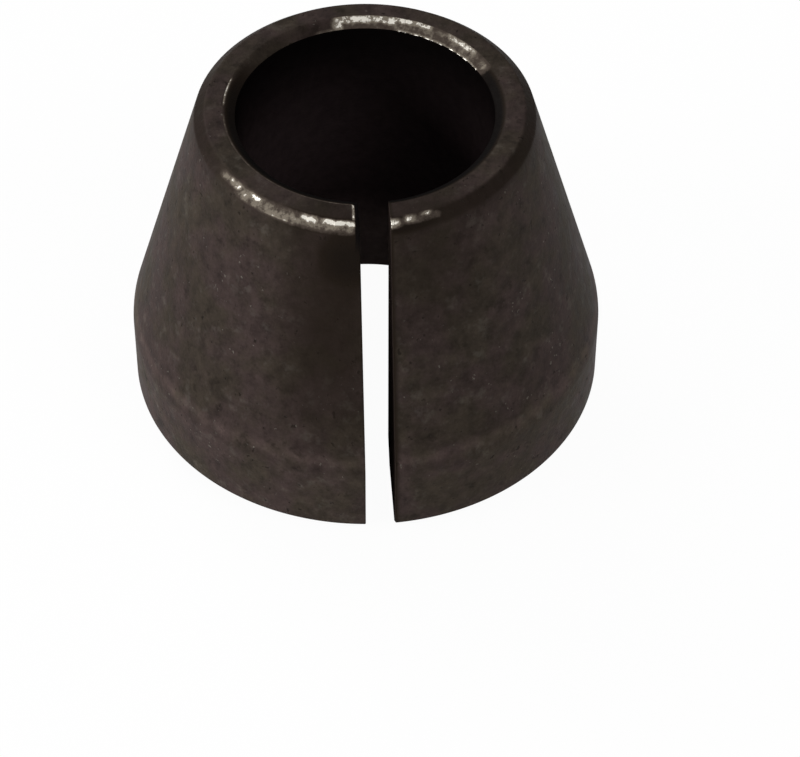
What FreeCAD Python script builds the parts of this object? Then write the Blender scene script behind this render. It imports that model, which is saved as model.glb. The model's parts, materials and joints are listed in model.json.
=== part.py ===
import FreeCAD, Part
import math
import os

import Sketcher

# Split cone collet
#
# A collet in one piece: turned from bar, bored, and sawn through on one side so that it can
# close on a shank. The wide foot with its plain band is at the bottom, and the long taper
# rises from the band to the small mouth, where the shank goes in. Z = 0 is the foot's face,
# the bore's axis is Z, and the saw cut opens towards -Y.
# Lengths are in millimetres and angles in degrees.

# Driving sizes: name, value, what it measures
SIZES = [
    ("bore_diameter", 12.0, "bore that closes on the shank"),
    ("overall_height", 17.0, "foot face to mouth face"),
    ("band_diameter", 22.8, "plain band above the foot"),
    ("band_top_height", 4.4, "foot face to the corner of band and taper"),
    ("mouth_wall", 1.92, "bore to the small end of the taper"),
    ("taper_blend_radius", 2.5, "round that softens the corner of band and taper"),
    ("rim_chamfer_width", 0.5, "mouth's outer edge, across the face"),
    ("rim_chamfer_depth", 0.45, "mouth's outer edge, along the axis"),
    ("mouth_chamfer_width", 0.55, "mouth's inner edge, across the face"),
    ("mouth_chamfer_depth", 0.35, "mouth's inner edge, along the axis"),
    ("foot_outer_chamfer", 0.8, "foot's outer edge, at 45 degrees"),
    ("foot_inner_chamfer", 1.0, "foot's inner edge, at 45 degrees"),
    ("slit_width", 1.4, "saw cut through the wall"),
]

NODE = "collet"

# A sketch's own origin, as constraints name it
ORIGIN = (-1, 1)


def write_sheet(doc):
    """Keep every driving size in one sheet: name, value and meaning on a row each."""
    sheet = doc.addObject("Spreadsheet::Sheet", "sizes")
    for row, (alias, value, meaning) in enumerate(SIZES, start=1):
        sheet.set(f"A{row}", alias)
        sheet.set(f"B{row}", str(value))
        sheet.set(f"C{row}", meaning)
        sheet.setAlias(f"B{row}", alias)
    doc.recompute()
    return sheet


def attached_sketch(body, name, plane_role):
    """A sketch on one of the body's own planes, such as XZ_Plane."""
    planes = [part for part in body.Origin.OriginFeatures if part.Role == plane_role]
    sketch = body.newObject("Sketcher::SketchObject", name)
    sketch.AttachmentSupport = [(planes[0], "")]
    sketch.MapMode = "FlatFace"
    return sketch


def add_line(sketch, first, last):
    segment = Part.LineSegment(FreeCAD.Vector(*first, 0), FreeCAD.Vector(*last, 0))
    return sketch.addGeometry(segment, False)


def start(side):
    """A side's first point, as constraints name it."""
    return (side, 1)


def end(side):
    """A side's last point, as constraints name it."""
    return (side, 2)


def constrain(sketch, kind, *elements):
    return sketch.addConstraint(Sketcher.Constraint(kind, *elements))


def put_on_axis(sketch, point):
    """Hold a point on the sketch's own horizontal axis."""
    constrain(sketch, "PointOnObject", *point, -1)


def join(sketch, *sides):
    """Join each side's end to the start of the next one."""
    for side, next_side in zip(sides, sides[1:]):
        constrain(sketch, "Coincident", *end(side), *start(next_side))


def set_size(sketch, kind, name, elements, value, formula):
    """Add a named dimension and bind it to the sheet."""
    index = constrain(sketch, kind, *elements, value)
    sketch.renameConstraint(index, name)
    sketch.setExpression(f"Constraints.{name}", formula)


def draw_half_section(body, size):
    """Draw the wall's section on the right of the axis, as the lathe cuts it."""
    bore_radius = size.bore_diameter / 2
    band_radius = size.band_diameter / 2
    rim_radius = bore_radius + size.mouth_wall
    rim_height = size.overall_height - size.rim_chamfer_depth
    slope = math.atan2(band_radius - rim_radius, rim_height - size.band_top_height)

    foot_inside = (bore_radius + size.foot_inner_chamfer, 0.0)
    foot_outside = (band_radius - size.foot_outer_chamfer, 0.0)
    band_foot = (band_radius, size.foot_outer_chamfer)
    taper_end = (rim_radius, rim_height)
    mouth_outside = (rim_radius - size.rim_chamfer_width, size.overall_height)
    mouth_inside = (bore_radius + size.mouth_chamfer_width, size.overall_height)
    bore_mouth = (bore_radius, size.overall_height - size.mouth_chamfer_depth)
    bore_foot = (bore_radius, size.foot_inner_chamfer)

    # The round leaves the band upright and meets the taper along its slope.
    round_radius = size.taper_blend_radius
    round_height = size.band_top_height - round_radius * math.tan(slope / 2)
    round_centre = FreeCAD.Vector(band_radius - round_radius, round_height, 0)
    round_circle = Part.Circle(round_centre, FreeCAD.Vector(0, 0, 1), round_radius)
    band_end = (band_radius, round_height)
    taper_foot = (round_centre.x + round_radius * math.cos(slope),
                  round_centre.y + round_radius * math.sin(slope))

    sketch = attached_sketch(body, "half_section", "XZ_Plane")
    foot = add_line(sketch, foot_inside, foot_outside)
    foot_edge = add_line(sketch, foot_outside, band_foot)
    band = add_line(sketch, band_foot, band_end)
    blend = sketch.addGeometry(Part.ArcOfCircle(round_circle, 0.0, slope), False)
    taper = add_line(sketch, taper_foot, taper_end)
    rim = add_line(sketch, taper_end, mouth_outside)
    mouth = add_line(sketch, mouth_outside, mouth_inside)
    mouth_edge = add_line(sketch, mouth_inside, bore_mouth)
    bore = add_line(sketch, bore_mouth, bore_foot)
    bore_edge = add_line(sketch, bore_foot, foot_inside)

    # Without the round, the band and the taper would meet in this sharp corner.
    corner_point = Part.Point(FreeCAD.Vector(band_radius, size.band_top_height, 0))
    corner = sketch.addGeometry(corner_point, True)
    constrain(sketch, "PointOnObject", *start(corner), band)
    constrain(sketch, "PointOnObject", *start(corner), taper)

    join(sketch, taper, rim, mouth, mouth_edge, bore, bore_edge, foot, foot_edge, band)
    constrain(sketch, "Tangent", *end(band), *start(blend))
    constrain(sketch, "Tangent", *end(blend), *start(taper))
    put_on_axis(sketch, start(foot))
    constrain(sketch, "Horizontal", foot)
    constrain(sketch, "Horizontal", mouth)
    constrain(sketch, "Vertical", band)
    constrain(sketch, "Vertical", bore)

    set_size(sketch, "DistanceX", "bore_radius", (*ORIGIN, *start(bore)),
             bore_radius, "sizes.bore_diameter / 2")
    set_size(sketch, "DistanceX", "band_radius", (*ORIGIN, *start(band)),
             band_radius, "sizes.band_diameter / 2")
    set_size(sketch, "DistanceX", "mouth_wall", (*start(bore), *end(taper)),
             size.mouth_wall, "sizes.mouth_wall")
    set_size(sketch, "DistanceY", "overall_height", (*ORIGIN, *start(mouth)),
             size.overall_height, "sizes.overall_height")
    set_size(sketch, "DistanceY", "band_top_height", (*ORIGIN, *start(corner)),
             size.band_top_height, "sizes.band_top_height")
    set_size(sketch, "Radius", "blend_radius", (blend,),
             round_radius, "sizes.taper_blend_radius")
    set_size(sketch, "DistanceX", "rim_width", (*end(rim), *start(rim)),
             size.rim_chamfer_width, "sizes.rim_chamfer_width")
    set_size(sketch, "DistanceY", "rim_depth", (*start(rim), *end(rim)),
             size.rim_chamfer_depth, "sizes.rim_chamfer_depth")
    set_size(sketch, "DistanceX", "mouth_width", (*end(mouth_edge), *start(mouth_edge)),
             size.mouth_chamfer_width, "sizes.mouth_chamfer_width")
    set_size(sketch, "DistanceY", "mouth_depth", (*end(mouth_edge), *start(mouth_edge)),
             size.mouth_chamfer_depth, "sizes.mouth_chamfer_depth")
    set_size(sketch, "DistanceX", "foot_edge_width", (*start(foot_edge), *end(foot_edge)),
             size.foot_outer_chamfer, "sizes.foot_outer_chamfer")
    set_size(sketch, "DistanceY", "foot_edge_depth", (*start(foot_edge), *end(foot_edge)),
             size.foot_outer_chamfer, "sizes.foot_outer_chamfer")
    set_size(sketch, "DistanceX", "bore_edge_width", (*start(bore_edge), *end(bore_edge)),
             size.foot_inner_chamfer, "sizes.foot_inner_chamfer")
    set_size(sketch, "DistanceY", "bore_edge_depth", (*end(bore_edge), *start(bore_edge)),
             size.foot_inner_chamfer, "sizes.foot_inner_chamfer")
    return sketch


def turn_blank(body, section):
    """Revolve the half section into the whole blank, with its bore."""
    blank = body.newObject("PartDesign::Revolution", "turned_blank")
    blank.Profile = section
    blank.ReferenceAxis = (section, ["V_Axis"])
    blank.Angle = 360.0
    return blank


def draw_slit(body, size):
    """Draw the saw cut on the foot's plane, from the axis out past the band.

    Its inner end lies inside the bore, so the cut keeps its full width through the wall.
    """
    half_width = size.slit_width / 2
    reach = size.band_diameter
    sketch = attached_sketch(body, "slit_outline", "XY_Plane")
    outer = add_line(sketch, (-half_width, -reach), (half_width, -reach))
    right = add_line(sketch, (half_width, -reach), (half_width, 0.0))
    inner = add_line(sketch, (half_width, 0.0), (-half_width, 0.0))
    left = add_line(sketch, (-half_width, 0.0), (-half_width, -reach))
    join(sketch, outer, right, inner, left, outer)
    constrain(sketch, "Horizontal", outer)
    constrain(sketch, "Vertical", right)
    constrain(sketch, "Vertical", left)
    put_on_axis(sketch, start(inner))
    constrain(sketch, "Symmetric", *start(inner), *end(inner), *ORIGIN)
    set_size(sketch, "DistanceX", "slit_width", (*end(inner), *start(inner)),
             size.slit_width, "sizes.slit_width")
    set_size(sketch, "DistanceY", "reach", (*start(right), *end(right)),
             reach, "sizes.band_diameter")
    return sketch


def saw_slit(body, outline, size):
    """Saw the outline upwards, from the foot's face to the mouth's."""
    slit = body.newObject("PartDesign::Pocket", "slit")
    slit.Profile = outline
    slit.Type = "Length"
    slit.Length = size.overall_height
    slit.setExpression("Length", "sizes.overall_height")
    slit.Reversed = True
    return slit


def check_model(doc, body, blank, slit):
    """Stop if a feature failed, the solid is not sound, or the saw cut removed nothing."""
    for item in doc.Objects:
        if "Invalid" in item.State or "Error" in item.State:
            raise RuntimeError(f"{item.Label} did not build: {item.State}")
    shape = body.Shape
    if shape.isNull() or not shape.isValid() or len(shape.Solids) != 1:
        raise RuntimeError("the collet is not one sound solid")
    if not slit.Shape.Volume < blank.Shape.Volume:
        raise RuntimeError("the saw cut removed nothing")


def main():
    doc = FreeCAD.newDocument("split_collet")
    size = write_sheet(doc)

    body = doc.addObject("PartDesign::Body", NODE)
    body.Label = NODE
    body.Placement = FreeCAD.Placement()
    section = draw_half_section(body, size)
    blank = turn_blank(body, section)
    doc.recompute()
    outline = draw_slit(body, size)
    slit = saw_slit(body, outline, size)
    doc.recompute()
    check_model(doc, body, blank, slit)

    os.makedirs("parts", exist_ok=True)
    body.Shape.exportStep(f"parts/{body.Label}.step")
    box = body.Shape.optimalBoundingBox(False, False)
    print(f"{body.Label}: {box.XLength:.2f} x {box.YLength:.2f} x {box.ZLength:.2f} mm,",
          f"{body.Shape.Volume:.1f} mm3,",
          f"the saw cut took {blank.Shape.Volume - slit.Shape.Volume:.1f} mm3")


main()
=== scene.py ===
# %% [markdown]
# # A split cone collet
#
# A collet is the small steel sleeve that grips a cutter's shank. This one was turned from bar:
# a long taper on a plain band, with a straight bore. A saw then opened one side, so that the
# cone can close on the shank. Black oxide covers the steel, and has worn off along the mouth.
#
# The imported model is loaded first. It fixes the size and the place of everything that follows,
# in metres, with the foot's face at Z = 0, the bore along Z and the saw cut towards -Y.

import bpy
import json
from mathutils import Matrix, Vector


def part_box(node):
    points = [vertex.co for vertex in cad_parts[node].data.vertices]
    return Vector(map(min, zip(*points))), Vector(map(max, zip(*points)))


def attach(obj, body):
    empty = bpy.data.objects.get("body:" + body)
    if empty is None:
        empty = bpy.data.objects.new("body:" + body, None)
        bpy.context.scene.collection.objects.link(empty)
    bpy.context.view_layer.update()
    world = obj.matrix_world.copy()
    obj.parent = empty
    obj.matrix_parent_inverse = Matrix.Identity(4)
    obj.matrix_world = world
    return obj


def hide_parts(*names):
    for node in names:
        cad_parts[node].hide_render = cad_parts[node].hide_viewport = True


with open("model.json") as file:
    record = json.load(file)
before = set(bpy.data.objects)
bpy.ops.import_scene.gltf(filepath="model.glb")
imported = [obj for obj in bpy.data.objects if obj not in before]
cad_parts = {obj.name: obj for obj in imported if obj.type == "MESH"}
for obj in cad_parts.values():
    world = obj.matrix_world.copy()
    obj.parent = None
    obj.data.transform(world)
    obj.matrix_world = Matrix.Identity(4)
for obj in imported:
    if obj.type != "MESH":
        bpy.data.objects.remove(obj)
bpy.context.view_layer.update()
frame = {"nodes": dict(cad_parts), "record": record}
print("nodes:", sorted(frame["nodes"]))

# %% [markdown]
# ## Sizes
#
# A turned part is known by a few sizes. The three large ones are read from the frame, so that
# they can't drift away from it. The others are the maker's own: where the taper starts, the wall
# at the mouth, the saw cut, and the edges that were broken on the lathe. MM lets each be written
# as the maker would say it.

# %% Sizes of the turned wall
import json
import math

import bmesh
import bpy
from mathutils import Matrix, Vector, noise

MM = 0.001

_, cad_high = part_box("collet")
HEIGHT = cad_high.z
BAND_RADIUS = min(cad_high.x, cad_high.y)
bore_mount = next(mount for mount in frame["record"]["mounts"] if mount["name"] == "shank_bore")
BORE_RADIUS = bore_mount["dims"]["r_mm"] * MM

BAND_TOP = 4.4 * MM
BLEND_RADIUS = 2.5 * MM
MOUTH_WALL = 1.92 * MM
RIM_CHAMFER_WIDTH = 0.5 * MM
RIM_CHAMFER_DEPTH = 0.45 * MM
MOUTH_CHAMFER_WIDTH = 0.55 * MM
MOUTH_CHAMFER_DEPTH = 0.35 * MM
FOOT_OUTER_CHAMFER = 0.8 * MM
FOOT_INNER_CHAMFER = 1.0 * MM
SAW_WIDTH = 1.4 * MM

RIM_RADIUS = BORE_RADIUS + MOUTH_WALL
RIM_HEIGHT = HEIGHT - RIM_CHAMFER_DEPTH
TAPER_ANGLE = math.atan2(BAND_RADIUS - RIM_RADIUS, RIM_HEIGHT - BAND_TOP)
print(f"band {2 * BAND_RADIUS / MM:.2f} mm, bore {2 * BORE_RADIUS / MM:.2f} mm,",
      f"height {HEIGHT / MM:.2f} mm, taper {math.degrees(TAPER_ANGLE):.1f} degrees")

# %% [markdown]
# ## The wall's outline
#
# A lathe makes a round form from one outline, and so does a spin. The outline could be a curve,
# but nine corners are enough here: they are joined by a closed wire, and the bevel operator
# rounds the corners while there are only nine of them. The large round softens the corner of
# band and taper, and the small ones take the sharpness off every turned edge.

# %% Draw the outline
CORNERS = [
    (BORE_RADIUS + FOOT_INNER_CHAMFER, 0.0),
    (BAND_RADIUS - FOOT_OUTER_CHAMFER, 0.0),
    (BAND_RADIUS, FOOT_OUTER_CHAMFER),
    (BAND_RADIUS, BAND_TOP),
    (RIM_RADIUS, RIM_HEIGHT),
    (RIM_RADIUS - RIM_CHAMFER_WIDTH, HEIGHT),
    (BORE_RADIUS + MOUTH_CHAMFER_WIDTH, HEIGHT),
    (BORE_RADIUS, HEIGHT - MOUTH_CHAMFER_DEPTH),
    (BORE_RADIUS, FOOT_INNER_CHAMFER),
]
BLEND_CORNER = CORNERS.index((BAND_RADIUS, BAND_TOP))

wall = bmesh.new()
corner_verts = [wall.verts.new((0.0, -radius, height)) for radius, height in CORNERS]
for first, last in zip(corner_verts, corner_verts[1:] + corner_verts[:1]):
    wall.edges.new((first, last))
print("outline:", len(wall.verts), "corners")

# %% Round the corners
BLEND_STEPS = 8
EDGE_ROUND = 0.05 * MM
EDGE_ROUND_STEPS = 3


def round_corners(mesh, corners, reach, steps):
    """Round corners of a wire. Each round starts at reach from its corner, on both lines."""
    bmesh.ops.bevel(mesh, geom=corners, offset=reach, offset_type="OFFSET",
                    segments=steps, profile=0.5, affect="VERTICES", material=-1)


blend_vert = corner_verts.pop(BLEND_CORNER)
round_corners(wall, [blend_vert], BLEND_RADIUS * math.tan(TAPER_ANGLE / 2), BLEND_STEPS)
round_corners(wall, corner_verts, EDGE_ROUND, EDGE_ROUND_STEPS)
print("rounded outline:", len(wall.verts), "points")

# %% [markdown]
# ## Rows along the outline
#
# The worn mouth will get small nicks, and nicks need points to move. So the outline's lines are
# divided finely near the mouth and coarsely elsewhere, where the wall stays smooth. A level
# plane first cuts the taper's line and the bore's where the fine part ends.

# %% Divide the outline's lines
MOUTH_ROW = 0.08 * MM
PLAIN_ROW = 0.9 * MM
MOUTH_ZONE = HEIGHT - 0.7 * MM
# Points that lie closer together than this are the same point
MERGE = 0.001 * MM

bmesh.ops.bisect_plane(wall, geom=wall.verts[:] + wall.edges[:],
                       plane_co=(0, 0, MOUTH_ZONE), plane_no=(0, 0, 1))
for edge in list(wall.edges):
    near_mouth = all(vert.co.z > MOUTH_ZONE - MERGE for vert in edge.verts)
    row = MOUTH_ROW if near_mouth else PLAIN_ROW
    cuts = int(edge.calc_length() / row)
    if cuts:
        bmesh.ops.subdivide_edges(wall, edges=[edge], cuts=cuts)
print("rows:", len(wall.edges))

# %% [markdown]
# ## Turning
#
# The outline spins round Z through half a turn, on the right of the saw cut. The left half is
# its mirror image, so it needn't be made twice. Cutting the finished ring with a plane would
# leave slivers beside the cut. Instead each column of points is slid round a little, until the
# first column lies just beside the cut and the last one stays where the halves meet.

# %% Spin half of the wall
HALF_TURN_STEPS = 360

bmesh.ops.spin(wall, geom=wall.verts[:] + wall.edges[:], cent=(0, 0, 0), axis=(0, 0, 1),
               angle=math.pi, steps=HALF_TURN_STEPS, use_merge=False)
print("half wall:", len(wall.faces), "faces")

# %% Slide the columns clear of the saw cut
SAW_EDGE = 0.035 * MM
FIRST_COLUMN = SAW_WIDTH / 2 + SAW_EDGE

for vert in wall.verts:
    radius = math.hypot(vert.co.x, vert.co.y)
    start = math.asin(FIRST_COLUMN / radius)
    spun = math.atan2(abs(vert.co.x), -vert.co.y)
    turn = start + spun * (math.pi - start) / math.pi
    vert.co.x = radius * math.sin(turn)
    vert.co.y = -radius * math.cos(turn)
print(f"first column at X = {FIRST_COLUMN / MM:.3f} mm")

# %% [markdown]
# ## The sawn face
#
# The first column is now the border of a flat face, the one that the saw left. One face fills
# it, and an inset with some depth draws that face out to the saw's plane, a little smaller all
# round. What it leaves between is the tiny chamfer of a deburred edge, which catches a thin
# line of light. A bevel could do the same, but it stumbles over the short edges of the rounds.

# %% Close the sawn face and break its edges


def on_first_column(vert):
    return abs(vert.co.x - FIRST_COLUMN) < MERGE and vert.co.y < 0


border = [edge for edge in wall.edges if all(on_first_column(vert) for vert in edge.verts)]
sawn_face = bmesh.ops.contextual_create(wall, geom=border)["faces"][0]
if sawn_face.normal.x > 0:
    sawn_face.normal_flip()
bmesh.ops.inset_region(wall, faces=[sawn_face], thickness=SAW_EDGE, depth=SAW_EDGE,
                       use_even_offset=True)
print(f"sawn face: {len(border)} edges, at X = {sawn_face.verts[0].co.x / MM:.3f} mm")

# %% [markdown]
# ## The whole ring
#
# Mirroring in X makes the left half and merges the two where they meet, at the back. A mirror
# turns faces inside out, so the normals are worked out again, and a count of the open edges
# shows whether the skin is closed.

# %% Mirror the half
bmesh.ops.mirror(wall, geom=wall.verts[:] + wall.edges[:] + wall.faces[:],
                 matrix=Matrix.Identity(4), merge_dist=MERGE, axis="X")
bmesh.ops.remove_doubles(wall, verts=wall.verts, dist=MERGE)
bmesh.ops.recalc_face_normals(wall, faces=wall.faces)
wall.normal_update()
open_edges = [edge for edge in wall.edges if not edge.is_manifold]
print("ring:", len(wall.faces), "faces,", len(open_edges), "open edges,",
      f"{wall.calc_volume(signed=True) / MM ** 3:.1f} mm3")

# %% [markdown]
# ## Finding a place on a chamfer
#
# The mouth has two chamfers: the rim outside and the mouth's own edge inside. Most of what tells
# this collet from a new one happens there, so two numbers give a place on them: the azimuth,
# counted from the saw cut, and how far down the chamfer a point lies. A picture wrapped round
# the ring would need a UV map, while these two simply follow the metal.

# %% Azimuths and chamfers
RIM, MOUTH = "rim", "mouth"
CHAMFER_DEPTHS = {RIM: RIM_CHAMFER_DEPTH, MOUTH: MOUTH_CHAMFER_DEPTH}
# Each ring takes in the small round at its upper edge, but not the last row of the mouth's
MOUTH_ROUND_SHARE = 0.8
RIM_INSIDE = RIM_RADIUS - RIM_CHAMFER_WIDTH - EDGE_ROUND
MOUTH_OUTSIDE = BORE_RADIUS + MOUTH_CHAMFER_WIDTH + MOUTH_ROUND_SHARE * EDGE_ROUND


def azimuth(point):
    """The angle round from the middle of the saw cut, positive to the right of it."""
    return math.degrees(math.atan2(point.x, -point.y))


def across(ring, point):
    """How far down a chamfer a point lies: 0 at its upper edge, 1 at its lower edge."""
    return (HEIGHT - point.z) / CHAMFER_DEPTHS[ring]


def is_on_ring(ring, point):
    radius = math.hypot(point.x, point.y)
    return radius > RIM_INSIDE if ring == RIM else radius < MOUTH_OUTSIDE


on_rim = sum(is_on_ring(RIM, vert.co) for vert in wall.verts if vert.co.z > RIM_HEIGHT)
print("points on the rim's chamfer:", on_rim)

# %% [markdown]
# ## Wear
#
# Tools and shanks have rubbed the oxide off the chamfers in stretches: first to brown, then to a
# grey film, and where it is rubbed through, bright steel shows in chains of small spots. Each
# worn stretch is one row: the ring that it lies on, the azimuths where it starts and ends, its
# place and half width across the chamfer, and its strength. The strongest stretch at a point
# counts, and the mesh keeps it as an attribute that the material reads.

# %% The worn stretches
# Ring, first and last azimuth, place and half width across, strength. A strength of 0.5 leaves
# a grey film, and about 1 leaves bright steel.
WEAR = [
    (RIM, -61, -50, 0.45, 0.40, 0.62),
    (RIM, -54, -50, 0.45, 0.40, 0.98),
    (RIM, -52, -38, 0.66, 0.66, 0.62),
    (RIM, -46, -41, 0.44, 0.28, 1.22),
    (RIM, -42, -26, 0.70, 0.70, 0.63),
    (RIM, -39, -28, 1.00, 0.16, 0.78),
    (RIM, -28, -6, 0.70, 0.56, 0.56),
    (RIM, -26, -19, 0.42, 0.34, 1.06),
    (RIM, -19, -6, 0.42, 0.27, 1.26),
    (RIM, -38, -7, 1.05, 0.45, 0.30),
    (RIM, 4, 23, 0.42, 0.36, 0.42),
    (RIM, 3, 8.5, 0.45, 0.42, 1.20),
    (RIM, 10, 14, 0.30, 0.34, 1.00),
    (RIM, 16, 20, 0.20, 0.24, 0.96),
    (MOUTH, 112, 190, 0.50, 0.90, 0.45),
    (MOUTH, 163, 190, 0.26, 0.44, 1.05),
    (MOUTH, 147, 165, 0.13, 0.30, 1.05),
    (MOUTH, 123, 140, 0.18, 0.30, 1.00),
    (MOUTH, 116, 163, 1.00, 0.16, 0.92),
    (MOUTH, 186, 191, 0.60, 0.60, 1.00),
    (MOUTH, 188, 199, 0.95, 0.25, 0.45),
    (MOUTH, 114.6, 115.4, 0.45, 0.45, 1.30),
    (MOUTH, -112, -95, 0.00, 0.10, 0.90),
    (MOUTH, -90, -6, 0.02, 0.11, 0.40),
]
print("worn stretches:", len(WEAR))

# %% Mark the wear
FADE_DEGREES = 3.0
FULL_TURN = 360
BRIGHT_WEAR = 0.8


def wear_of_stretch(stretch, point):
    """How worn a point is by one stretch: full in its middle and soft at its borders."""
    ring, start, end, place, half_width, strength = stretch
    if not is_on_ring(ring, point):
        return 0.0
    middle = (start + end) / 2
    away = abs((azimuth(point) - middle + FULL_TURN / 2) % FULL_TURN - FULL_TURN / 2)
    # Half of the fade lies inside the stretch and half outside
    past_end = away - (end - start) / 2
    along = max(0.0, min(1.0, 0.5 - past_end / FADE_DEGREES))
    aside = min(1.0, abs(across(ring, point) - place) / half_width)
    return strength * along * (1 - aside ** 2)


wear_layer = wall.verts.layers.float.new("wear")
for vert in wall.verts:
    if vert.co.z > MOUTH_ZONE:
        vert[wear_layer] = max(wear_of_stretch(stretch, vert.co) for stretch in WEAR)
print("worn points:", sum(vert[wear_layer] > 0 for vert in wall.verts),
      "of them bright:", sum(vert[wear_layer] >= BRIGHT_WEAR for vert in wall.verts))

# %% [markdown]
# ## Depth of the oxide, and painted shade
#
# A second attribute darkens the oxide, and most of it is painted shade: soft patches of shade
# beside the saw cut, a narrow strip of shade beside the cut on the right jaw, the bruised strip on
# the left jaw, and the mouth's chamfer, darker downwards into the bore. On the rim's chamfer, away
# from the wear, it is partly a deeper black finish and partly a painted dark reflection of the
# room. A depth of 1 is brown black and 2 is as black as the bore.
# Along the chamfers it changes with the azimuth, so a short row of azimuths and depths says
# what each has, and the points between two of them take a value between theirs.

# %% Where the oxide is darker, and where shade is painted
# Patches of painted shade beside the saw cut. Azimuth and height of a patch's middle, its half
# width in degrees, half height and depth
PAINTED_SHADE_PATCHES = [
    (-13, 12.5 * MM, 20, 8.5 * MM, 0.84),
    (-9, 15.2 * MM, 15, 2.3 * MM, 1.45),
    (14, 16.0 * MM, 28, 6.0 * MM, 0.55),
]
# Azimuths and depths along the two chamfers. On the rim it is partly a deeper black finish and
# partly a painted dark reflection; in the mouth it is painted shade, darker down into the bore
RIM_OXIDE_AND_REFLECTION = [(-180, 0.3), (-115, 0.5), (-100, 0.8), (-75, 0.7), (-57, 0.2), (-34, 0.3),
              (-27, 1.3), (10, 1.3), (24, 0.8), (105, 0.75), (130, 0.4), (180, 0.3)]
MOUTH_SHADE_DEPTHS = [(-180, 0.3), (-130, 0.3), (-105, 1.6), (-60, 2.0), (60, 2.0), (105, 1.9),
                (130, 1.0), (180, 0.6)]
# Places down a chamfer, counted as across() does: full depth, the start of a fade, its end
RIM_FULL_BY = 1 / 8
RIM_FADE_START = 0.9
RIM_FADE_END = 2.2
MOUTH_FULL_BY = 1 / 2.2
MOUTH_END = 1.1
# The mouth's depth rises by this power, so it rises fast at first
MOUTH_RISE = 0.7
# The strip of painted shade beside the saw cut
SHADE_STRIP_WIDTH = 0.26 * MM
SHADE_STRIP_DEPTH = 1.2


def depth_at(rows, angle):
    """The depth at an azimuth, between the two rows that it falls between."""
    for (start, first), (end, second) in zip(rows, rows[1:]):
        if start <= angle <= end:
            return first + (second - first) * (angle - start) / (end - start)
    return rows[-1][1]


print("depth at the rim's right side:", round(depth_at(RIM_OXIDE_AND_REFLECTION, 90), 2))

# %% Mark the darker oxide and the painted shade


def shade_patch_depth(patch, point):
    angle, height, half_width, half_height, depth = patch
    away = math.hypot((azimuth(point) - angle) / half_width, (point.z - height) / half_height)
    return depth * (1 - min(1.0, away) ** 2)


def rim_oxide_and_reflection(point):
    down = across(RIM, point)
    if not is_on_ring(RIM, point) or not 0 < down < RIM_FADE_END:
        return 0.0
    fade_in = down / RIM_FULL_BY
    fade_out = (RIM_FADE_END - down) / (RIM_FADE_END - RIM_FADE_START)
    return depth_at(RIM_OXIDE_AND_REFLECTION, azimuth(point)) * min(1.0, fade_in, fade_out)


def mouth_shade_depth(point):
    down = across(MOUTH, point)
    if not is_on_ring(MOUTH, point) or not 0 < down < MOUTH_END:
        return 0.0
    return depth_at(MOUTH_SHADE_DEPTHS, azimuth(point)) * min(1.0, down / MOUTH_FULL_BY) ** MOUTH_RISE


def shade_strip_depth(point):
    """A strip of painted shade on the right jaw, darkest at the saw cut."""
    off_cut = point.x - SAW_WIDTH / 2
    if point.y >= 0 or not 0 < off_cut < SHADE_STRIP_WIDTH:
        return 0.0
    return SHADE_STRIP_DEPTH * (1 - off_cut / SHADE_STRIP_WIDTH)


deep_and_shade_layer = wall.verts.layers.float.new("deep_oxide_and_shade")
for vert in wall.verts:
    patches = [shade_patch_depth(patch, vert.co) for patch in PAINTED_SHADE_PATCHES]
    vert[deep_and_shade_layer] = max(*patches, rim_oxide_and_reflection(vert.co), mouth_shade_depth(vert.co),
                           shade_strip_depth(vert.co))
print("deep points:", sum(vert[deep_and_shade_layer] > 0.5 for vert in wall.verts))

# %% [markdown]
# ## A bruised corner
#
# The top corner of the left jaw has been knocked: a narrow strip beside the saw cut is pressed
# down, with a thin bright line along its border. The strip is also painted black, as painted
# shade. It sinks towards the saw cut, and the sinking fades out below the rim, so the sawn face
# stays flat.

# %% Bruise the left jaw's corner
BRUISE_WIDTH = 0.2 * MM
BRUISE_BORDER = 0.3 * MM
BRUISE_DEPTH = 0.1 * MM
BRUISE_BOTTOM = HEIGHT - 0.9 * MM
# The pressed strip is painted this black, as painted shade
BRUISE_PAINTED_SHADE = 2.0

bruised = 0
for vert in wall.verts:
    off_cut = -vert.co.x - SAW_WIDTH / 2
    on_left_jaw = vert.co.y < 0 and vert.co.x < 0
    if on_left_jaw and off_cut < BRUISE_BORDER and vert.co.z > BRUISE_BOTTOM:
        near_cut = max(0.0, 1 - max(0.0, off_cut) / BRUISE_WIDTH)
        near_top = (vert.co.z - BRUISE_BOTTOM) / (HEIGHT - BRUISE_BOTTOM)
        vert.co.z -= BRUISE_DEPTH * near_cut * near_top
        if near_cut > 0:
            vert[deep_and_shade_layer] = BRUISE_PAINTED_SHADE
            vert[wear_layer] = 0.0
            bruised += 1
        elif vert.co.z > HEIGHT - EDGE_ROUND:
            vert[wear_layer] = max(vert[wear_layer], BRIGHT_WEAR)
print("bruised points:", bruised)

# %% [markdown]
# ## Nicks
#
# Bright metal sparkles because it is uneven, so the rubbed chamfers get real dents. Each rubbed
# point sinks along its normal by a smooth noise. The points only go inwards, because wear takes
# metal away, and so the ring stays inside its size.

# %% Sink the nicks
NICK_SIZE = 0.22 * MM
NICK_DEPTH = 0.035 * MM
# How much each finer layer of the noise fades, how much finer it is, and how many there are
NICK_FADE, NICK_FINER, NICK_LAYERS = 0.6, 2.0, 3

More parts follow.
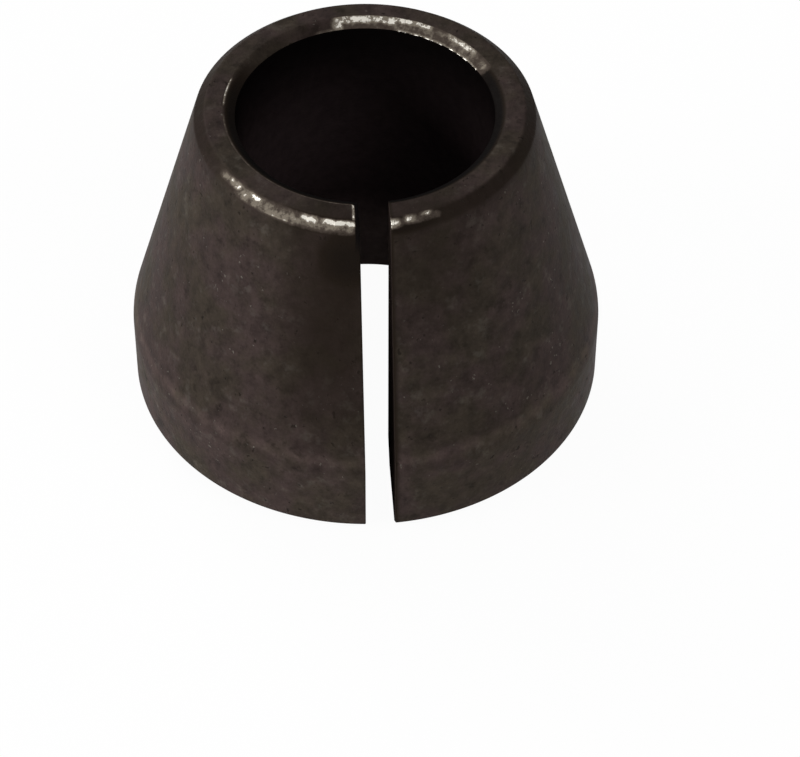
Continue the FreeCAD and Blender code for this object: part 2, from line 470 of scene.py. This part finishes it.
nicked = [vert for vert in wall.verts if vert[wear_layer] > 0]
for vert in nicked:
    uneven = noise.fractal(vert.co / NICK_SIZE, NICK_FADE, NICK_FINER, NICK_LAYERS)
    # The noise runs from about -1 to 1, and a dent from 0 to 1
    dent = max(0.0, (uneven + 1) / 2)
    vert.co -= vert.normal * NICK_DEPTH * min(1.0, vert[wear_layer]) * dent
print("nicked points:", len(nicked))

# %% [markdown]
# ## Which faces the cutter and the saw made
#
# The bore and the sawn faces look different from the outside: they are matt, and the bore is
# painted a deeper black, as painted shade.
# They get the second and the third material slot. The sawn faces are flat, so they are shaded
# flat, and the rest of the ring is shaded smooth.

# %% Sort the faces
OUTSIDE, BORED, SAWN = 0, 1, 2
STRAIGHT_ALONG_X = 0.999


def is_bored(face):
    middle = face.calc_center_median()
    return math.hypot(middle.x, middle.y) < BORE_RADIUS + EDGE_ROUND / 2


def is_sawn(face):
    middle = face.calc_center_median()
    beside_cut = middle.y < 0 and abs(middle.x) < SAW_WIDTH
    return beside_cut and abs(face.normal.x) > STRAIGHT_ALONG_X


for face in wall.faces:
    sawn = is_sawn(face)
    face.smooth = not sawn
    face.material_index = SAWN if sawn else BORED if is_bored(face) else OUTSIDE
print("sawn faces:", sum(face.material_index == SAWN for face in wall.faces))

# %% [markdown]
# ## The finished piece
#
# The mesh goes into one object at the origin, because its place is in its points. A ring of long
# thin faces beside tiny rounds shades unevenly: a Weighted Normal modifier lets the large faces
# decide, and keeps them looking flat. The piece rides on the one body, and stands for the
# collet's own solid.

# %% Make the object
ring_mesh = bpy.data.meshes.new("collet_ring")
wall.to_mesh(ring_mesh)
wall.free()
ring = bpy.data.objects.new("collet_ring", ring_mesh)
bpy.context.scene.collection.objects.link(ring)

weighted = ring.modifiers.new("keep_flats_flat", "WEIGHTED_NORMAL")
weighted.keep_sharp = True

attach(ring, "root")
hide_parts("collet")
triangles = sum(len(face.vertices) - 2 for face in ring_mesh.polygons)
print("collet_ring:", triangles, "triangles")

# %% [markdown]
# ## Helpers for materials
#
# Each finish is a small graph of nodes. A short class keeps it easy to write: add() makes a node
# and fills its inputs with values or with other nodes' outputs, and the rest are the few nodes
# that every finish here needs. All patterns read Object coordinates, so they are fixed to the
# metal, in real millimetres, and a noise is given by the width of its lumps.

# %% Screen colours


def linear(red, green, blue):
    """A colour as a screen shows it, from 0 to 255, in linear light, by the sRGB curve."""
    channels = [value / 255 for value in (red, green, blue)]
    return tuple(c / 12.92 if c <= 0.04045 else ((c + 0.055) / 1.055) ** 2.4
                 for c in channels) + (1.0,)


print("middle grey in linear light:", round(linear(128, 128, 128)[0], 3))

# %% Node helpers
# The Mix node has sockets for each kind of data, and these are the ones for colours.
MIX_SHARE, MIX_FIRST, MIX_SECOND, MIX_RESULT = 0, 6, 7, 2
# Nearly all of a noise lies between these
NOISE_LOW, NOISE_HIGH = 0.3, 0.7


class Graph:
    """A material's nodes, added one by one. An input is a value or another node's output."""

    def __init__(self, name):
        self.material = bpy.data.materials.new(name)
        self.material.use_nodes = True
        self.tree = self.material.node_tree
        self.tree.nodes.clear()
        self.place = self.add("ShaderNodeTexCoord").outputs["Object"]

    def add(self, kind, inputs=None, **settings):
        node = self.tree.nodes.new(kind)
        for name, value in settings.items():
            setattr(node, name, value)
        for name, value in (inputs or {}).items():
            if isinstance(value, bpy.types.NodeSocket):
                self.tree.links.new(value, node.inputs[name])
            else:
                node.inputs[name].default_value = value
        return node

    def math(self, operation, first, second=0.0, clamp=False):
        return self.add("ShaderNodeMath", {0: first, 1: second},
                        operation=operation, use_clamp=clamp).outputs[0]

    def times(self, first, second):
        return self.math("MULTIPLY", first, second)

    def mix(self, share, first, second, blend="MIX"):
        inputs = {MIX_SHARE: share, MIX_FIRST: first, MIX_SECOND: second}
        return self.add("ShaderNodeMix", inputs, data_type="RGBA",
                        blend_type=blend).outputs[MIX_RESULT]

    def noise(self, grain, detail=3.0, roughness=0.55):
        """Noise whose lumps are about one grain wide."""
        return self.add("ShaderNodeTexNoise", {
            "Vector": self.place, "Scale": 1 / grain,
            "Detail": detail, "Roughness": roughness,
        }).outputs["Fac"]

    def step(self, value, start, end):
        """0 below start, 1 above end, smooth between them."""
        return self.add("ShaderNodeMapRange", {
            "Value": value, "From Min": start, "From Max": end,
        }, interpolation_type="SMOOTHSTEP").outputs["Result"]

    def spread(self, value, low, high):
        """Noise, stretched to run from low to high."""
        return self.add("ShaderNodeMapRange", {
            "Value": value, "From Min": NOISE_LOW, "From Max": NOISE_HIGH,
            "To Min": low, "To Max": high,
        }).outputs["Result"]

    def height_up(self):
        return self.add("ShaderNodeSeparateXYZ", {"Vector": self.place}).outputs["Z"]

    def attribute(self, name):
        return self.add("ShaderNodeAttribute", attribute_name=name).outputs["Fac"]


# %% [markdown]
# ## The shader that every finish ends in
#
# Each finish ends in the same way: a bump for what is too small to model, and one Principled
# shader. An oxide's gloss is weak and warm, so the gloss has a tint, and each finish says how
# strong it is by its index of refraction: 1 is none at all.

# %% Finish a graph
GLOSS_TINT = (1.0, 0.87, 0.77, 1.0)


def finished(graph, colour, roughness, metal, height, bump_distance, gloss):
    bump = graph.add("ShaderNodeBump", {"Height": height, "Distance": bump_distance})
    shader = graph.add("ShaderNodeBsdfPrincipled", {
        "Base Color": colour, "Roughness": roughness, "Metallic": metal,
        "Normal": bump.outputs["Normal"], "IOR": gloss, "Specular Tint": GLOSS_TINT,
    })
    graph.add("ShaderNodeOutputMaterial", {"Surface": shader.outputs["BSDF"]})
    return graph.material


# %% [markdown]
# ## Black oxide, the even coat
#
# Black oxide is grown on the steel in a hot bath, so its colour is never quite even. Large soft
# patches drift between an olive black and a reddish one, and a finer mottle and a grain lie over
# them. Over this lies painted light: the band is painted a touch paler than the taper, for the
# light that it catches from the floor, and a soft painted highlight lies along the round where
# the two meet. Both are worked out from the height.

# %% The oxide's own colour
OLIVE_BLACK = linear(48, 42, 36)
RED_BLACK = linear(52, 43, 41)
PATCH_SIZE = 2.4 * MM
MOTTLE_SIZE = 0.7 * MM
GRAIN_SIZE = 0.15 * MM
# Where the patches turn from olive to red, and how far mottle and grain change the shade
OLIVE_TO_RED = (0.38, 0.62)
MOTTLE_SHADE = (0.66, 1.38)
GRAIN_SHADE = (0.90, 1.11)
# Painted light: a highlight along the round between band and taper, and a paler band
HIGHLIGHT_HEIGHT = 4.9 * MM
HIGHLIGHT_HALF_WIDTH = 0.55 * MM
HIGHLIGHT_LIFT = 0.50
BAND_PAINTED_LIGHT = 0.16
BAND_LIGHT_FADE = 0.6 * MM


def painted_light_by_height(graph):
    """The painted light at each height: a highlight on the round, and a paler band."""
    height_up = graph.height_up()
    off_highlight = graph.math("ABSOLUTE", graph.math("SUBTRACT", height_up, HIGHLIGHT_HEIGHT))
    painted_highlight = graph.math("SUBTRACT", 1.0, graph.step(off_highlight, 0.0, HIGHLIGHT_HALF_WIDTH))
    above_band = graph.step(height_up, BAND_TOP - BAND_LIGHT_FADE, HIGHLIGHT_HEIGHT)
    band = graph.math("SUBTRACT", 1.0, above_band)
    painted_lift = graph.math("ADD", graph.times(painted_highlight, HIGHLIGHT_LIFT), graph.times(band, BAND_PAINTED_LIGHT))
    return graph.math("ADD", 1.0, painted_lift)


def even_coat(graph, patches, mottle, grain):
    colour = graph.mix(graph.step(patches, *OLIVE_TO_RED), OLIVE_BLACK, RED_BLACK)
    shade = graph.times(graph.spread(mottle, *MOTTLE_SHADE), graph.spread(grain, *GRAIN_SHADE))
    return graph.mix(1.0, colour, graph.times(shade, painted_light_by_height(graph)), blend="MULTIPLY")


# %% [markdown]
# ## Smudges, pits and specks
#
# Over the coat lie pale and dark smudges, about a millimetre wide. Small pits are painted dark,
# as painted shade, and tiny specks pale, as painted highlights; the bump also sinks the pits and
# raises the specks. Pits and specks are the highest peaks of a noise: a step cuts the peaks off,
# and a second noise added first makes them crowd in some places.
# Last comes the darker oxide and the painted shade of the chamfers and patches, from the attribute.

# %% Smudges on the coat
# The pale colour is also the specks' painted highlight, and the dark one the pits' painted shade
PALE_SMUDGE_AND_HIGHLIGHT = linear(112, 107, 99)
DARK_SMUDGE_AND_SHADE = linear(18, 15, 12)
SMUDGE_SIZE = 0.9 * MM
# Where the noise turns pale and where it turns dark, and how much of each colour shows there
PALE_SMUDGES = (0.54, 0.76)
PALE_SMUDGE_SHARE = 0.16
DARK_SMUDGES = (0.26, 0.44)
DARK_SMUDGE_SHARE = 0.5


def with_smudges(graph, colour):
    smudges = graph.noise(SMUDGE_SIZE, roughness=0.7)
    pale = graph.step(smudges, *PALE_SMUDGES)
    dark = graph.math("SUBTRACT", 1.0, graph.step(smudges, *DARK_SMUDGES))
    colour = graph.mix(graph.times(pale, PALE_SMUDGE_SHARE), colour, PALE_SMUDGE_AND_HIGHLIGHT)
    return graph.mix(graph.times(dark, DARK_SMUDGE_SHARE), colour, DARK_SMUDGE_AND_SHADE)


# %% Pits and specks
PIT_SIZE = 0.38 * MM
PIT_PEAKS = (0.86, 0.93)
PIT_SHARE = 0.6
FLECK_SIZE = 0.27 * MM
FLECK_PEAKS = (0.89, 0.96)
# Specks differ in strength, by the mottle under them
FLECK_SHARE = (0.25, 0.75)
CROWDING = 0.35


def peaks(graph, size, crowd, start, end):
    """Small ragged spots at a noise's peaks, more of them where the crowd is high."""
    crowded = graph.math("ADD", graph.noise(size, detail=2.0), graph.times(crowd, CROWDING))
    return graph.step(crowded, start, end)


def with_pit_shade_and_speck_highlights(graph, colour, pits, flecks, mottle):
    colour = graph.mix(graph.times(pits, PIT_SHARE), colour, DARK_SMUDGE_AND_SHADE)
    fleck_share = graph.times(flecks, graph.spread(mottle, *FLECK_SHARE))
    return graph.mix(fleck_share, colour, PALE_SMUDGE_AND_HIGHLIGHT)


# %% Darker oxide and painted shade
# Colours for the attribute: partly a deeper black oxide, mostly painted shade
EDGE_BLACK_AND_SHADE = linear(28, 22, 17)
MOUTH_BLACK_AND_SHADE = linear(10, 8, 8)


def with_deep_oxide_and_shade(graph, colour):
    deep_oxide_and_shade = graph.attribute("deep_oxide_and_shade")
    colour = graph.mix(graph.math("MINIMUM", deep_oxide_and_shade, 1.0), colour, EDGE_BLACK_AND_SHADE)
    return graph.mix(graph.math("SUBTRACT", deep_oxide_and_shade, 1.0, clamp=True), colour, MOUTH_BLACK_AND_SHADE)


# %% [markdown]
# ## Worn steel
#
# On the worn chamfers a spotty noise, times the wear, decides what shows: rubbed brown first,
# then a grey film, and bright steel where the product is highest. Bright steel is smoother than
# the oxide and partly mirrors the room. A full metal would turn dark wherever it mirrors the
# dim part of the room, so it is only half metal here.

# %% What the wear shows
RUBBED_BROWN = linear(65, 57, 51)
GREY_FILM = linear(114, 106, 95)
BRIGHT_STEEL = linear(238, 233, 222)
SPOT_SIZE = 0.34 * MM
# How far the spots and the grain change the wear that shows as film or as rubbed steel
FILM_SPOTS = (0.5, 1.45)
RUBBED_SPOTS = (0.4, 1.6)
RUBBED_GRAIN = (0.85, 1.15)
# The wear at which each colour sets in and is full
BROWN_WEAR = (0.10, 0.35)
FILM_WEAR = (0.35, 0.65)
STEEL_WEAR = (0.78, 1.08)


def with_wear(graph, colour, grain):
    """The colour with the worn places in it, and where the steel is bright."""
    wear = graph.attribute("wear")
    spots = graph.noise(SPOT_SIZE, detail=5.0, roughness=0.68)
    film = graph.times(wear, graph.spread(spots, *FILM_SPOTS))
    rubbed = graph.times(wear, graph.spread(spots, *RUBBED_SPOTS))
    rubbed = graph.times(rubbed, graph.spread(grain, *RUBBED_GRAIN))
    bright = graph.step(rubbed, *STEEL_WEAR)
    colour = graph.mix(graph.step(film, *BROWN_WEAR), colour, RUBBED_BROWN)
    colour = graph.mix(graph.step(film, *FILM_WEAR), colour, GREY_FILM)
    return graph.mix(bright, colour, BRIGHT_STEEL), bright


# %% Roughness and relief
OXIDE_ROUGHNESS = (0.48, 0.66)
BRIGHT_SMOOTHER = 0.15
# How much of the relief is grain and mottle, and how far pits sink and specks stand out
GRAIN_RELIEF = 0.3
MOTTLE_RELIEF = 0.8
SPOT_RELIEF = 0.5


def oxide_roughness(graph, mottle, bright):
    return graph.math("SUBTRACT", graph.spread(mottle, *OXIDE_ROUGHNESS),
                      graph.times(bright, BRIGHT_SMOOTHER))


def relief(graph, mottle, grain, pits, flecks):
    height = graph.math("ADD", graph.times(grain, GRAIN_RELIEF), graph.times(mottle, MOTTLE_RELIEF))
    height = graph.math("SUBTRACT", height, graph.times(pits, SPOT_RELIEF))
    return graph.math("ADD", height, graph.times(flecks, SPOT_RELIEF))


# %% Material of the outside
OUTSIDE_BUMP = 0.05 * MM
SATIN_GLOSS = 1.10
BRIGHT_METAL = 0.5


def black_oxide():
    graph = Graph("black_oxide")
    patches = graph.noise(PATCH_SIZE)
    mottle = graph.noise(MOTTLE_SIZE, detail=4.0, roughness=0.65)
    grain = graph.noise(GRAIN_SIZE, roughness=0.6)
    pits = peaks(graph, PIT_SIZE, mottle, *PIT_PEAKS)
    flecks = peaks(graph, FLECK_SIZE, patches, *FLECK_PEAKS)

    colour = with_smudges(graph, even_coat(graph, patches, mottle, grain))
    colour = with_pit_shade_and_speck_highlights(graph, colour, pits, flecks, mottle)
    colour, bright = with_wear(graph, with_deep_oxide_and_shade(graph, colour), grain)
    return finished(graph, colour, oxide_roughness(graph, mottle, bright),
                    graph.times(bright, BRIGHT_METAL),
                    relief(graph, mottle, grain, pits, flecks), OUTSIDE_BUMP, SATIN_GLOSS)


ring_mesh.materials.append(black_oxide())
print("nodes in black_oxide:", len(ring_mesh.materials[OUTSIDE].node_tree.nodes))

# %% [markdown]
# ## Bore and saw cut
#
# Inside, nothing has rubbed the oxide and oil has soaked into it, so it is matt. The saw left fine
# lines along its way, and the boring tool left rings: one wave of bump does for both, because both
# run across the height. The bore's colour is painted shade and painted light. It is painted close
# to black at the mouth, and paler further down, where less and less light comes, so that it looks
# evenly black from above. At the foot it is painted a dull grey, as painted light from the floor
# that comes in under the foot and through the saw cut.

# %% Materials of the inside
# Heights, from the foot up, and the colour at each. This is painted shade and light: black at
# the mouth, and paler further down, where less light comes, to grey at the foot
BORE_PAINTED_SHADE_AND_LIGHT = [(3 * MM, linear(114, 100, 97)), (6.5 * MM, linear(56, 46, 47)),
               (HEIGHT, linear(8, 6, 6))]
SAWN_BLACKS = [(0.0, linear(50, 42, 39))]
INSIDE_MOTTLE_SIZE = 0.5 * MM
INSIDE_SHADE = (0.85, 1.15)
INSIDE_ROUGHNESS = (0.62, 0.78)
TOOL_LINE = 0.18 * MM
# At a scale of 1, the wave texture's bands lie this far apart, in metres
WAVE_BAND = 0.31
WAVE_UNEVENNESS = 0.4
INSIDE_BUMP = 0.003 * MM
NO_GLOSS = 1.0


def matt_black(name, blacks):
    """A matt black that changes from one colour to the next on its way up."""
    graph = Graph(name)
    height_up = graph.height_up()
    colour = blacks[0][1]
    for (low, _), (high, next_colour) in zip(blacks, blacks[1:]):
        colour = graph.mix(graph.step(height_up, low, high), colour, next_colour)
    mottle = graph.noise(INSIDE_MOTTLE_SIZE)
    colour = graph.mix(1.0, colour, graph.spread(mottle, *INSIDE_SHADE), blend="MULTIPLY")
    lines = graph.add("ShaderNodeTexWave", {
        "Vector": graph.place, "Scale": WAVE_BAND / TOOL_LINE, "Distortion": WAVE_UNEVENNESS,
    }, bands_direction="Z").outputs["Fac"]
    roughness = graph.spread(mottle, *INSIDE_ROUGHNESS)
    return finished(graph, colour, roughness, 0.0, lines, INSIDE_BUMP, NO_GLOSS)


ring_mesh.materials.append(matt_black("bored_painted_shade_and_light", BORE_PAINTED_SHADE_AND_LIGHT))
ring_mesh.materials.append(matt_black("sawn_black", SAWN_BLACKS))
print("materials:", [material.name for material in ring_mesh.materials])

# %% [markdown]
# ## Floor
#
# The collet stands on plain white paper. Paper that is lit evenly is white in a picture, so for
# the camera and for reflections most of the floor's white is its own, and the rest is lit paper,
# which keeps the soft shadow at the foot. For all other light it is plain paper.

# %% White paper
PAPER_WHITE = (0.9, 0.9, 0.9, 1.0)
FLOOR_OWN_WHITE = 0.96


def white_paper():
    graph = Graph("white_paper")
    path = graph.add("ShaderNodeLightPath").outputs
    seen = graph.math("MAXIMUM", path["Is Camera Ray"], path["Is Glossy Ray"])
    seen = graph.math("MAXIMUM", seen, path["Is Transmission Ray"])
    lit = graph.add("ShaderNodeBsdfDiffuse", {"Color": PAPER_WHITE}).outputs[0]
    own = graph.add("ShaderNodeEmission").outputs[0]
    blend = graph.add("ShaderNodeMixShader", {0: graph.times(seen, FLOOR_OWN_WHITE),
                                              1: lit, 2: own})
    graph.add("ShaderNodeOutputMaterial", {"Surface": blend.outputs[0]})
    return graph.material


# %% Lay the floor
FLOOR_SIZE = 4.0

floor_mesh = bpy.data.meshes.new("floor")
sheet = bmesh.new()
bmesh.ops.create_grid(sheet, x_segments=1, y_segments=1, size=FLOOR_SIZE / 2)
sheet.to_mesh(floor_mesh)
sheet.free()
floor_mesh.materials.append(white_paper())
floor = bpy.data.objects.new("floor", floor_mesh)
bpy.context.scene.collection.objects.link(floor)
print("floor:", FLOOR_SIZE, "m wide")

# %% [markdown]
# ## Light
#
# Plain soft studio light: a pale room all round and three broad lamps, a strong low one on the
# left and weaker ones behind and on the right. Dark satin steel is bright only where it faces a
# lamp, so the two flanks come out lighter than the front. Together the lamps and the room light
# a surface that lies flat at a level of about one.

# %% Light the room
ROOM_LEVEL = 0.3

world = bpy.data.worlds.new("pale_room")
world.use_nodes = True
room = world.node_tree.nodes["Background"]
room.inputs["Color"].default_value = (1.0, 1.0, 1.0, 1.0)
room.inputs["Strength"].default_value = ROOM_LEVEL
bpy.context.scene.world = world
print("room level:", ROOM_LEVEL)

# %% Set the lamps
LAMP_SIZE = 0.4
LAMP_DISTANCE = 0.6
# Name, azimuth and elevation in degrees, and level
LAMPS = [
    ("left_lamp", -76, 14, 1.02),
    ("back_lamp", -150, 38, 0.47),
    ("right_lamp", 46, 38, 0.38),
]


def add_lamp(name, azimuth_degrees, elevation_degrees, level):
    """A lamp that lights a surface facing it at the given level."""
    turn, rise = math.radians(azimuth_degrees), math.radians(elevation_degrees)
    spot = LAMP_DISTANCE * Vector((math.cos(rise) * math.sin(turn),
                                   -math.cos(rise) * math.cos(turn), math.sin(rise)))
    data = bpy.data.lights.new(name, "AREA")
    data.shape = "DISK"
    data.size = LAMP_SIZE
    # White paper that faces a lamp comes out at its energy over (pi times the distance) squared
    data.energy = level * (math.pi * LAMP_DISTANCE) ** 2
    lamp = bpy.data.objects.new(name, data)
    bpy.context.scene.collection.objects.link(lamp)
    lamp.location = spot
    lamp.rotation_euler = (-spot).to_track_quat("-Z", "Y").to_euler()


for lamp_row in LAMPS:
    add_lamp(*lamp_row)
flat_level = ROOM_LEVEL + sum(level * math.sin(math.radians(elevation))
                              for _, _, elevation, level in LAMPS)
print(f"level on a flat surface: {flat_level:.2f}")

# %% [markdown]
# ## Camera
#
# The picture is taken from close by, looking down at the mouth. The camera's spot, its turn and
# its lens were found by matching the outline and the rings of the mouth, so the perspective is
# the real one. The picture is 800 pixels wide, and the lens is given for a 36 mm film.

# %% Set the camera
CAMERA_SPOT = Vector((-6.09, -109.37, 114.34)) * MM
# Turns in radians: down from level, to the right, and about the line of sight
CAMERA_DOWN = 0.812
CAMERA_RIGHT = 0.071
CAMERA_ROLL = -0.0056
FOCAL_PIXELS = 3163.5
PICTURE_WIDTH = 800
FILM_WIDTH = 36.0
NEAREST_SEEN = 10 * MM

camera_data = bpy.data.cameras.new("camera")
camera_data.sensor_fit = "HORIZONTAL"
camera_data.sensor_width = FILM_WIDTH
camera_data.lens = FOCAL_PIXELS * FILM_WIDTH / PICTURE_WIDTH
camera_data.clip_start = NEAREST_SEEN
camera = bpy.data.objects.new("camera", camera_data)
bpy.context.scene.collection.objects.link(camera)
look = (Matrix.Rotation(-CAMERA_RIGHT, 4, "Z")
        @ Matrix.Rotation(math.pi / 2 - CAMERA_DOWN, 4, "X")
        @ Matrix.Rotation(-CAMERA_ROLL, 4, "Z"))
camera.matrix_world = Matrix.Translation(CAMERA_SPOT) @ look
bpy.context.scene.camera = camera
bpy.context.scene.view_settings.view_transform = "Standard"
print(f"lens {camera_data.lens:.1f} mm at {CAMERA_SPOT.length / MM:.0f} mm")
